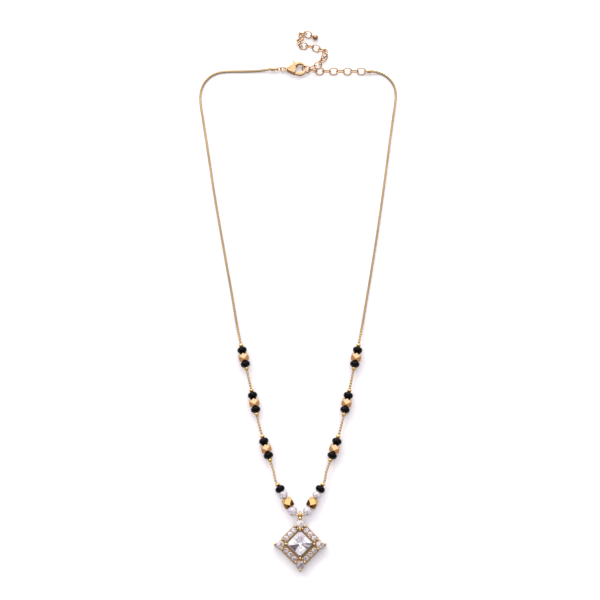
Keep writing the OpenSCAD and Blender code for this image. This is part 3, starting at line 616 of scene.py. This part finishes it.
def cut_stones(name, radius, centres, node):
    """Round stones of one size. A facet's tint lies between its kind's painted shade and light by
    a sine of its number and of the stone's, so that neighbours differ as sparkling facets do, and
    the table is painted dark on one side, as the mains below it mirror one another. Stones farther
    up the table are painted paler and brighter, and each is a little warmer or cooler than the
    next."""
    points, faces, kinds = brilliant()
    centres = np.asarray(centres, float)
    every = on_pendant(centres[:, None] + points[None] * radius).reshape(-1, 3)
    many = [[i + len(points) * n for i in face] for n in range(len(centres)) for face in faces]
    stone = np.repeat(np.arange(len(centres)), len(faces))
    kind, number = np.tile(kinds, (len(centres), 1)).T
    beat = np.where(kind == TABLE, TABLE_BEAT, FACET_BEAT)
    share = (0.5 + 0.5 * np.sin(beat * number + STONE_BEAT * stone + KIND_BEAT * kind))[:, None]
    tint = DARK_TINT[kind] * (1 - share) + LIGHT_TINT[kind] * share
    far_up = (centres[:, 0] + centres[:, 1])[stone][:, None]
    pale = graded(PALENESS, far_up)
    warm = (0.5 + 0.5 * np.sin(WARM_BEAT * stone + WARM_START))[:, None] * WARMTH
    # Painted light: stones farther up the table paler and brighter
    tint = (tint * (1 - pale) + pale * MIXED_WHITE) * (1 - warm) * graded(BRIGHTNESS, far_up)
    made = tinted(piece(name, every, many, zircon), tint)
    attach(made, "necklace")
    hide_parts(node)


# Turns that carry the first side of the pendant to each of its four sides
TURNS = [np.array([[math.cos(a), math.sin(a)], [-math.sin(a), math.cos(a)]])
         for a in (0, math.pi / 2, math.pi, 3 * math.pi / 2)]
side_places = [[*(np.array([SIDE_LINE, step * SIDE_PITCH]) @ turn), SIDE_GIRDLE]
               for turn in TURNS for step in (-1, 0, 1)]
cut_stones("side_stones_cut", SIDE_R, side_places, "side_stones")
for corner, turn in zip(("top", "left", "bottom", "right"), TURNS):
    cut_stones("corner_stone_cut_" + corner, CORNER_R,
               [[*(np.array([SIDE_LINE, SIDE_LINE]) @ turn), CORNER_GIRDLE]],
               "corner_stone_" + corner)


# Rings of the square stone from the table's middle to the culet: half width, cut corner, height
CENTRE_RINGS = [(0.45, 0.1, 1.12), (1.35, 0.25, 1.12), (2.4, 0.6, 1.1), (3.3, 0.68, 0.68),
                (3.9, 0.75, 0.0), (3.9, 0.75, -0.12), (2.2, 0.5, -1.3), (0.15, 0.03, -2.3)]
STEPS_A_SIDE = 6
# The row of facets next above the girdle, and the first rows, where glints are painted
EDGE_ROW, GLINT_ROWS = 3, 3

# What each half of a side shows, from the right-hand corner round to the left: painted tones
# that light inside the stone gives, seen through its top
WHITE, BLUE_WHITE, GREEN_WHITE = (0.98, 0.97, 1.0), (0.84, 0.88, 1.0), (0.88, 0.94, 0.86)
MAUVE, PLUM, SMOKE = (0.42, 0.33, 0.39), (0.075, 0.032, 0.055), (0.19, 0.145, 0.185)
HALF_SIDES = np.array([BLUE_WHITE, MAUVE, MAUVE, GREEN_WHITE, PLUM, WHITE, WHITE, SMOKE])
# The painted tones of the edge row on each side, and the culet's
EDGES = np.array([(0.80, 0.78, 0.86), (0.75, 0.76, 0.72), (0.40, 0.26, 0.23), (0.20, 0.16, 0.08)])
CULET_TONE = (0.5, 0.45, 0.5)
# How far each row's tone is streaked with painted light, and how far a streak lightens it
STREAKS = [0.55, 0.45, 0.35, 0.2, 0.1, 0.1, 0.1]
STREAK_LIFT = 0.04
# How white the painted glints, the brightest streaks, run through the darker tones
GLINT = 0.6
# How far the sines of a streak and of a glint move on along the ring, from row to row, and from
# one triangle of a facet to the other
STREAK_BEATS, GLINT_BEATS = (2.3, 1.9, 2.6), (2.9, 0.5)


def centre_cut():
    """The square stone's rings of points, joined by triangles whose diagonals alternate. Painted
    streaks and glints follow sines of a facet's place along the ring, its row and its half."""
    along = np.linspace(-1, 1, STEPS_A_SIDE)
    rings = []
    for half, corner_cut, height in CENTRE_RINGS:
        side = np.column_stack([np.full(STEPS_A_SIDE, half), along * (half - corner_cut)])
        rings.append(np.concatenate([np.column_stack([side @ turn,
                                                      np.full(STEPS_A_SIDE, height)])
                                     for turn in TURNS]))
    rings = np.array(rings)
    count = rings.shape[1]
    faces, tints = [[*range(count)]], [WHITE]
    for row, streak in enumerate(STREAKS):
        for k in range(count):
            a, b = row * count + k, row * count + (k + 1) % count
            c, d = a + count, b + count
            faces += [[a, c, d], [a, d, b]] if (row + k) % 2 else [[a, c, b], [b, c, d]]
            side, step = divmod(k, STEPS_A_SIDE)
            second_half = 2 * step + 1 > STEPS_A_SIDE - 1
            tone = EDGES[side] if row == EDGE_ROW else HALF_SIDES[2 * side + second_half]
            glints = row < GLINT_ROWS and tone[0] > PLUM[0]
            glint = GLINT * max(0.0, math.sin(np.dot(GLINT_BEATS, (k, row)))) * glints
            for half in (0, 1):
                swing = 0.5 + 0.5 * math.sin(np.dot(STREAK_BEATS, (k, row, half)))
                shown = (tone * (1 - glint) + glint) * (1 - streak * swing)
                tints.append(shown + STREAK_LIFT * swing)
    faces.append([*range(count * len(rings) - 1, count * (len(rings) - 1) - 1, -1)])
    tints.append(CULET_TONE)
    points = on_pendant(rings + [0, 0, CENTRE_GIRDLE]).reshape(-1, 3)
    return tinted(piece("centre_stone_cut", points, faces, zircon), np.array(tints))


centre = centre_cut()
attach(centre, "necklace")
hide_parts("centre_stone")


# Clasp

# Points closer than this are one, cells of this size follow the clasp's faces, and each pass of
# easing moves a point by this share of the way to its neighbours' middle
JOIN_GAP = 0.001
CELL = 0.075
EASE_SHARE = 0.5


def rounded(node, name, passes):
    """A cast part from a node: its faces joined, cut into even cells and eased a number of times,
    so that its edges are rounded over as tumbled metal's are."""
    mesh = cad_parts[node].data.copy()
    made = bpy.data.objects.new(name, mesh)
    bpy.context.scene.collection.objects.link(made)
    join = made.modifiers.new("join", "WELD")
    join.merge_threshold = JOIN_GAP * MM
    cells = made.modifiers.new("cells", "REMESH")
    cells.mode, cells.voxel_size, cells.use_smooth_shade = "VOXEL", CELL * MM, True
    ease = made.modifiers.new("ease", "SMOOTH")
    ease.factor, ease.iterations = EASE_SHARE, passes
    bpy.context.view_layer.update()
    seen = made.evaluated_get(bpy.context.evaluated_depsgraph_get())
    made.data = bpy.data.meshes.new_from_object(seen)
    made.data.name = name
    made.modifiers.clear()
    made.data.materials.clear()
    made.data.materials.append(cast_gold)
    return made


for node, body, passes in (("clasp_body", "necklace", 14), ("clasp_lever", "lever", 6)):
    cast = rounded(node, node + "_cast", passes)
    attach(cast, body)
    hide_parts(node)


# Finishes of the nodes that show as they are
FINISHES = {
    "crimps": gold, "gold_nugget": cut_gold, "large_nugget": amber_gold,
    "pendant_setting": setting_gold, "bead_wire": rose_gold, "chain_cap": rose_gold,
    "oval_ring": rose_gold, "round_ring": rose_gold, "clasp_rivet": rose_gold,
    "extender_chain": rose_gold, "extender_drop": dark_rose, "black_bead": black_glass,
    "crystal_bead": crystal,
}
for name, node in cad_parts.items():
    for start, finish in FINISHES.items():
        if name.startswith(start):
            for slot in node.material_slots:
                slot.material = finish
